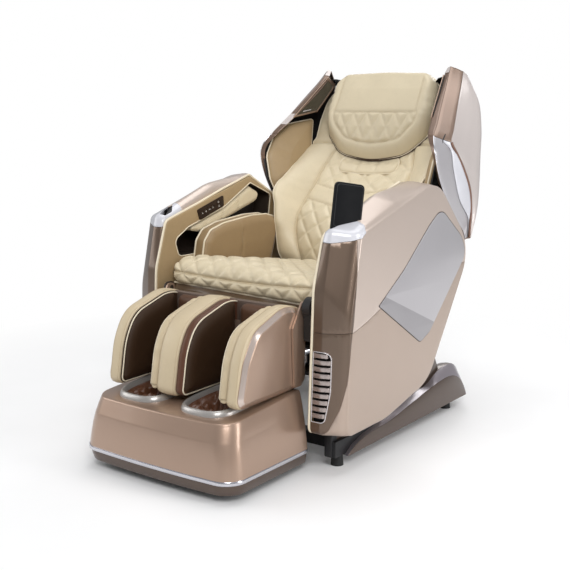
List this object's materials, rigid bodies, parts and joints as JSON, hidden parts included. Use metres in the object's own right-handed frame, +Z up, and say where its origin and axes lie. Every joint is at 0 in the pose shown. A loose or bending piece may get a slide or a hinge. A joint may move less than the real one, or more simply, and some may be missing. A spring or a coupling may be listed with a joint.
{
  "type": "massage chair",
  "caption": "Reclining massage chair with shell arms, winged backrest, quilted cushions, swinging leg rest with foot box, and a sliding carriage on a low base.",
  "frame": {"origin": "on the floor, under the middle of the chair's overall length and width, at rest", "axes": "+Z up from the floor; the sitter faces -Y; +X is towards the sitter's left arm"},
  "size_m": [0.8406, 1.5128, 1.2335],
  "materials": {
    "frame_black": "satin black powder coat",
    "rail_bronze": "bronze metallic paint with a silver bevel",
    "rubber": "moulded black rubber",
    "chrome_rod": "ground and hard-chromed",
    "black_plastic": "fine moulded texture",
    "rocker_red": "moulded",
    "champagne": "champagne metallic paint",
    "bronze": "bronze metallic paint",
    "silver_inlay": "silver satin paint",
    "dock_silver": "white silver paint",
    "vent": "dark louvres in a silver frame",
    "leather_cream": "quilted cream leather",
    "leather_tan": "smooth tan leather",
    "leather_dark": "dark brown leather",
    "glass_black": "polished black",
    "key_light": "moulded",
    "wing_silver": "light silver metallic paint",
    "strip_brown": "brown with a bright edge",
    "grille_bronze": "punched sheet",
    "shell_dark": "textured dark brown",
    "band_silver": "satin silver",
    "roller_light": "moulded",
    "roller_brown": "moulded"
  },
  "bodies": {
    "base": {"base_frame": "frame_black", "rail_covers": "rail_bronze", "base_feet": "rubber", "guide_rods": "chrome_rod", "power_box": "black_plastic"},
    "power_switch": {"power_switch": "rocker_red"},
    "transport_wheels": {"transport_wheels": "black_plastic"},
    "carriage": {"seat_frame": "frame_black", "seat_cushion": "leather_cream", "seat_apron": "leather_dark", "arm_upper_shell_left": "champagne", "arm_upper_shell_right": "champagne", "arm_lower_shells": "champagne", "arm_inlays": "silver_inlay", "front_columns": "bronze", "vent_grilles": "vent", "arm_inner_panel_left": "leather_tan", "arm_inner_panel_right": "leather_tan", "forearm_pads": "leather_cream", "hip_cushions": "leather_tan", "remote_dock": "dock_silver", "phone_pocket": "dock_silver", "control_panel": "glass_black", "recline_actuator": "black_plastic", "leg_drive": "black_plastic"},
    "remote_handset": {"remote_handset": "glass_black"},
    "mode_key_1": {"mode_key_1": "key_light"},
    "mode_key_2": {"mode_key_2": "key_light"},
    "mode_key_3": {"mode_key_3": "key_light"},
    "mode_key_4": {"mode_key_4": "key_light"},
    "round_key_upper": {"round_key_upper": "key_light"},
    "round_key_lower": {"round_key_lower": "key_light"},
    "backrest": {"back_frame": "frame_black", "back_shell": "shell_dark", "wing_shells": "wing_silver", "wing_strips": "strip_brown", "wing_inlays": "wing_silver", "speaker_grilles": "grille_bronze", "shoulder_pads": "leather_tan", "back_cushion": "leather_cream"},
    "head_pillow": {"head_pillow": "leather_cream"},
    "massage_carriage": {"massage_carriage": "black_plastic"},
    "knead_left": {"knead_arm_left": "chrome_rod"},
    "knead_right": {"knead_arm_right": "chrome_rod"},
    "roller_left_upper": {"roller_left_upper": "roller_brown"},
    "roller_left_lower": {"roller_left_lower": "roller_brown"},
    "roller_right_upper": {"roller_right_upper": "roller_brown"},
    "roller_right_lower": {"roller_right_lower": "roller_brown"},
    "recline_rod": {"recline_rod": "chrome_rod"},
    "legrest": {"leg_frame": "frame_black", "calf_shells": "leather_dark", "calf_pads": "leather_cream", "calf_divider": "leather_cream"},
    "footrest": {"foot_shell": "bronze", "foot_band": "band_silver", "foot_skirt": "strip_brown", "well_rims": "band_silver", "well_liners": "leather_dark"},
    "foot_rollers": {"foot_rollers": "roller_light"}
  },
  "joints": [
    {"name": "carriage_slide", "type": "slide", "parent": "base", "child": "carriage", "axis": [0, -1, 0], "range_m": [0, 0.12]},
    {"name": "recline", "type": "hinge", "parent": "carriage", "child": "backrest", "pos_m": [0, 0.20565, 0.42], "axis": [-1, 0, 0], "range_deg": [0, 50]},
    {"name": "recline_rod_slide", "type": "slide", "parent": "carriage", "child": "recline_rod", "axis": [0, -1, 0], "range_m": [0, 0.1066]},
    {"name": "pillow_flip", "type": "hinge", "parent": "backrest", "child": "head_pillow", "pos_m": [0, 0.5717, 1.17908], "axis": [-1, 0, 0], "range_deg": [0, 150]},
    {"name": "massage_climb", "type": "slide", "parent": "backrest", "child": "massage_carriage", "axis": [0, 0.5592, 0.829], "range_m": [0, 0.5]},
    {"name": "knead_left_swing", "type": "hinge", "parent": "massage_carriage", "child": "knead_left", "pos_m": [0.078, 0.27584, 0.57771], "axis": [0, -0.829, 0.5592], "range_deg": [-8, 8]},
    {"name": "knead_right_swing", "type": "hinge", "parent": "massage_carriage", "child": "knead_right", "pos_m": [-0.078, 0.27584, 0.57771], "axis": [0, -0.829, 0.5592], "range_deg": [-8, 8]},
    {"name": "roller_left_upper_spin", "type": "hinge", "parent": "knead_left", "child": "roller_left_upper", "pos_m": [0.094, 0.30052, 0.62861], "axis": [1, 0, 0], "continuous": true},
    {"name": "roller_left_lower_spin", "type": "hinge", "parent": "knead_left", "child": "roller_left_lower", "pos_m": [0.094, 0.23789, 0.53576], "axis": [1, 0, 0], "continuous": true},
    {"name": "roller_right_upper_spin", "type": "hinge", "parent": "knead_right", "child": "roller_right_upper", "pos_m": [-0.094, 0.30052, 0.62861], "axis": [1, 0, 0], "continuous": true},
    {"name": "roller_right_lower_spin", "type": "hinge", "parent": "knead_right", "child": "roller_right_lower", "pos_m": [-0.094, 0.23789, 0.53576], "axis": [1, 0, 0], "continuous": true},
    {"name": "leg_lift", "type": "hinge", "parent": "carriage", "child": "legrest", "pos_m": [0, -0.37935, 0.5], "axis": [-1, 0, 0], "range_deg": [0, 80]},
    {"name": "foot_extend", "type": "slide", "parent": "legrest", "child": "footrest", "axis": [0, 0, -1], "range_m": [0, 0.12]},
    {"name": "foot_roller_spin", "type": "hinge", "parent": "footrest", "child": "foot_rollers", "pos_m": [0, -0.55535, 0.046], "axis": [1, 0, 0], "continuous": true},
    {"name": "handset_lift", "type": "slide", "parent": "carriage", "child": "remote_handset", "axis": [0, 0.1736, 0.9848], "range_m": [0, 0.12]},
    {"name": "mode_key_1_press", "type": "slide", "parent": "carriage", "child": "mode_key_1", "axis": [-1, 0, 0], "range_m": [0, 0.0015], "stiffness_N_per_m": 400},
    {"name": "mode_key_2_press", "type": "slide", "parent": "carriage", "child": "mode_key_2", "axis": [-1, 0, 0], "range_m": [0, 0.0015], "stiffness_N_per_m": 400},
    {"name": "mode_key_3_press", "type": "slide", "parent": "carriage", "child": "mode_key_3", "axis": [-1, 0, 0], "range_m": [0, 0.0015], "stiffness_N_per_m": 400},
    {"name": "mode_key_4_press", "type": "slide", "parent": "carriage", "child": "mode_key_4", "axis": [-1, 0, 0], "range_m": [0, 0.0015], "stiffness_N_per_m": 400},
    {"name": "round_key_upper_press", "type": "slide", "parent": "carriage", "child": "round_key_upper", "axis": [-1, 0, 0], "range_m": [0, 0.0015], "stiffness_N_per_m": 400},
    {"name": "round_key_lower_press", "type": "slide", "parent": "carriage", "child": "round_key_lower", "axis": [-1, 0, 0], "range_m": [0, 0.0015], "stiffness_N_per_m": 400},
    {"name": "power_rocker", "type": "hinge", "parent": "base", "child": "power_switch", "pos_m": [-0.03, 0.49465, 0.1033], "axis": [1, 0, 0], "range_deg": [-10, 10]},
    {"name": "transport_wheel_spin", "type": "hinge", "parent": "base", "child": "transport_wheels", "pos_m": [0, 0.47265, 0.05], "axis": [1, 0, 0], "continuous": true}
  ],
  "couplings": [
    {"joint": "carriage_slide", "follows": "recline", "m_per_rad": 0.13737},
    {"joint": "recline_rod_slide", "follows": "recline", "m_per_rad": 0.12076},
    {"joint": "knead_right_swing", "follows": "knead_left_swing", "ratio": -1},
    {"joint": "foot_extend", "follows": "leg_lift", "m_per_rad": 0.08586}
  ]
}
